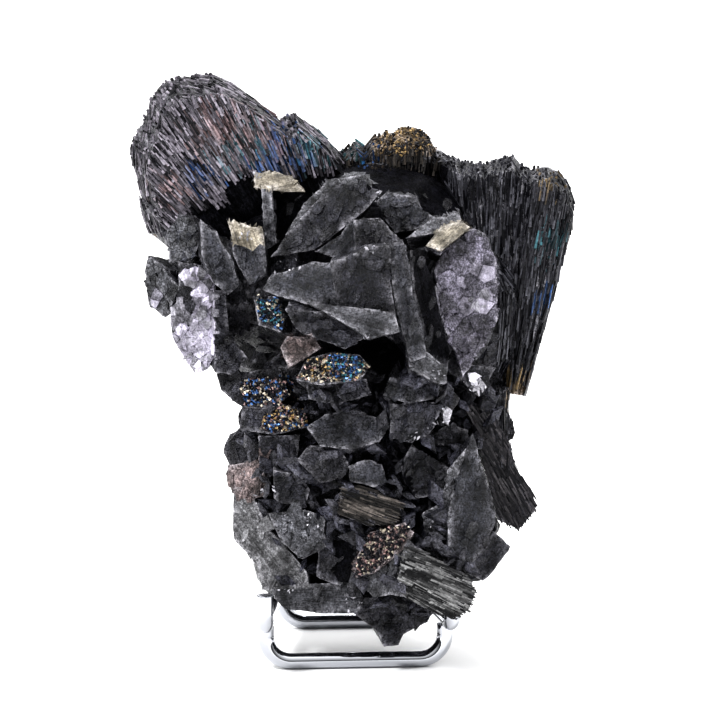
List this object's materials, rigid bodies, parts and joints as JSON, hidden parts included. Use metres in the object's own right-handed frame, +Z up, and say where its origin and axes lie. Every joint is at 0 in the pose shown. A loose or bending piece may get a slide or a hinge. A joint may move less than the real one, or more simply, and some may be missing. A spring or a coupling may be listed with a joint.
{
  "type": "mineral specimen on a rod stand",
  "caption": "Cluster of black calcite blades grown together with fibrous fan-shaped sheaves, held upright in a bent chrome rod stand",
  "frame": {"origin": "on the table, under the middle of the object's box", "axes": "+Z up, +X to the right as seen from the front, +Y away from the viewer to the back"},
  "size_m": [0.0898, 0.0592, 0.1172],
  "materials": {
    "calcite": "dark glistening crystal faces with striated and scaly crusts",
    "chrome": "polished round rod"
  },
  "bodies": {
    "root": {"crystal_cluster": "calcite", "front_foot": "chrome", "rear_frame": "chrome", "left_arm": "chrome", "right_arm": "chrome"}
  },
  "joints": []
}
